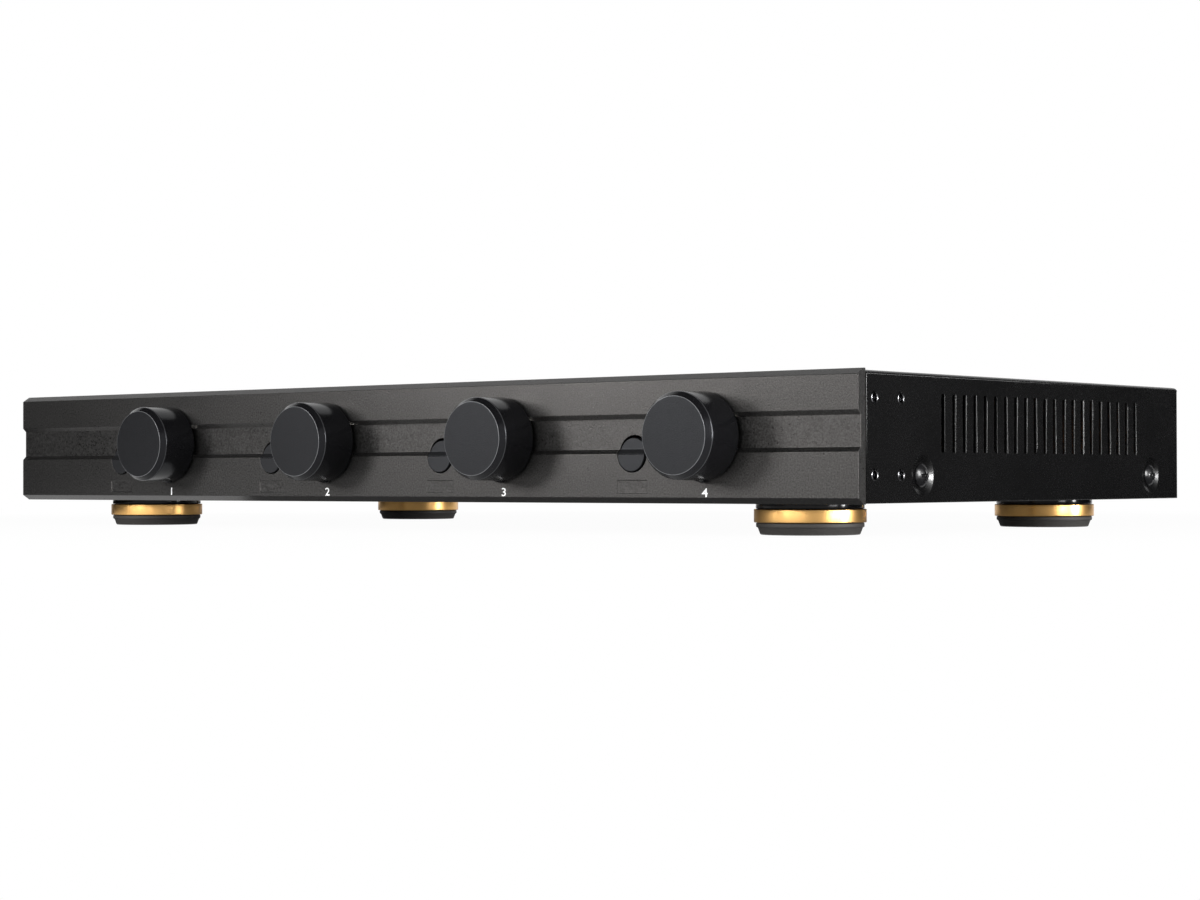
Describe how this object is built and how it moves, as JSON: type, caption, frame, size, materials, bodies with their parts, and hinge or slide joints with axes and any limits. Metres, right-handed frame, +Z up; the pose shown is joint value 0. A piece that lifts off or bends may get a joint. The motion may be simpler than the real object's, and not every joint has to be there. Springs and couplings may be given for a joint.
{
  "type": "speaker selector switch",
  "caption": "Low flat audio box that shares one amplifier between rooms, with a volume knob and a push button for each room.",
  "frame": {"origin": "on the surface it stands on, in the middle of the overall length and depth", "axes": "+X to the right seen from the front, +Y from the front panel to the back, +Z up"},
  "size_m": [0.4344, 0.257, 0.0553],
  "materials": {
    "black_anodised": "black satin anodised extrusion with a fine grain",
    "black_paint": "black powder coat, fine texture",
    "black_screw": "black, smooth and semi-gloss",
    "zinc_plated_steel": "bright zinc plate, rolled sheet",
    "foot_plastic": "black, glossy",
    "gold": "polished gold colour",
    "rubber": "matt black",
    "knob_black": "dark grey anodised, fine turned grain with bright edges",
    "button_grey": "dark grey, satin",
    "die_cast": "die-cast, dull",
    "switch_plastic": "moulded, dull black",
    "nickel": "nickel plate",
    "circuit_board": "green solder resist",
    "nylon": "natural white nylon",
    "lamination_steel": "stacked sheet, dark varnish",
    "copper_wire": "enamelled copper wire",
    "terminal_plastic": "moulded green terminal plastic"
  },
  "bodies": {
    "case": {"front_panel": "black_anodised", "chassis_tray": "black_paint", "top_cover": "black_paint", "cover_screws": "black_screw", "foot_housings": "foot_plastic", "foot_rings": "gold", "foot_pads": "rubber", "switch_frames": "die_cast", "switch_bodies": "switch_plastic", "bushing_nuts": "nickel", "push_bodies": "switch_plastic", "main_board": "circuit_board", "board_posts": "nylon", "transformer_cores": "lamination_steel", "transformer_bobbins": "nylon", "transformer_windings": "copper_wire", "transformer_straps": "zinc_plated_steel", "terminal_sockets": "terminal_plastic", "terminal_pins": "nickel"},
    "volume_1": {"knob_1": "knob_black", "switch_shaft_1": "nickel"},
    "button_1": {"button_cap_1": "button_grey", "push_plunger_1": "nylon"},
    "volume_2": {"knob_2": "knob_black", "switch_shaft_2": "nickel"},
    "button_2": {"button_cap_2": "button_grey", "push_plunger_2": "nylon"},
    "volume_3": {"knob_3": "knob_black", "switch_shaft_3": "nickel"},
    "button_3": {"button_cap_3": "button_grey", "push_plunger_3": "nylon"},
    "volume_4": {"knob_4": "knob_black", "switch_shaft_4": "nickel"},
    "button_4": {"button_cap_4": "button_grey", "push_plunger_4": "nylon"},
    "input_plug_body": {"input_plug": "terminal_plastic"},
    "output_plug_1_body": {"output_plug_1": "terminal_plastic"},
    "output_plug_2_body": {"output_plug_2": "terminal_plastic"},
    "output_plug_3_body": {"output_plug_3": "terminal_plastic"},
    "output_plug_4_body": {"output_plug_4": "terminal_plastic"}
  },
  "joints": [
    {"name": "volume_1_turn", "type": "hinge", "parent": "case", "child": "volume_1", "pos_m": [-0.1183, -0.112, 0.03388], "axis": [0, 1, 0], "range_deg": [0, 330]},
    {"name": "button_1_push", "type": "slide", "parent": "case", "child": "button_1", "axis": [0, 1, 0], "range_m": [0, 0.003], "stiffness_N_per_m": 500, "springref_m": -0.001},
    {"name": "volume_2_turn", "type": "hinge", "parent": "case", "child": "volume_2", "pos_m": [-0.0275, -0.112, 0.03388], "axis": [0, 1, 0], "range_deg": [0, 330]},
    {"name": "button_2_push", "type": "slide", "parent": "case", "child": "button_2", "axis": [0, 1, 0], "range_m": [0, 0.003], "stiffness_N_per_m": 500, "springref_m": -0.001},
    {"name": "volume_3_turn", "type": "hinge", "parent": "case", "child": "volume_3", "pos_m": [0.0633, -0.112, 0.03388], "axis": [0, 1, 0], "range_deg": [0, 330]},
    {"name": "button_3_push", "type": "slide", "parent": "case", "child": "button_3", "axis": [0, 1, 0], "range_m": [0, 0.003], "stiffness_N_per_m": 500, "springref_m": -0.001},
    {"name": "volume_4_turn", "type": "hinge", "parent": "case", "child": "volume_4", "pos_m": [0.1541, -0.112, 0.03388], "axis": [0, 1, 0], "range_deg": [0, 330]},
    {"name": "button_4_push", "type": "slide", "parent": "case", "child": "button_4", "axis": [0, 1, 0], "range_m": [0, 0.003], "stiffness_N_per_m": 500, "springref_m": -0.001},
    {"name": "input_plug_pull", "type": "slide", "parent": "case", "child": "input_plug_body", "axis": [0, 1, 0], "range_m": [0, 0.012]},
    {"name": "output_plug_1_pull", "type": "slide", "parent": "case", "child": "output_plug_1_body", "axis": [0, 1, 0], "range_m": [0, 0.012]},
    {"name": "output_plug_2_pull", "type": "slide", "parent": "case", "child": "output_plug_2_body", "axis": [0, 1, 0], "range_m": [0, 0.012]},
    {"name": "output_plug_3_pull", "type": "slide", "parent": "case", "child": "output_plug_3_body", "axis": [0, 1, 0], "range_m": [0, 0.012]},
    {"name": "output_plug_4_pull", "type": "slide", "parent": "case", "child": "output_plug_4_body", "axis": [0, 1, 0], "range_m": [0, 0.012]}
  ]
}
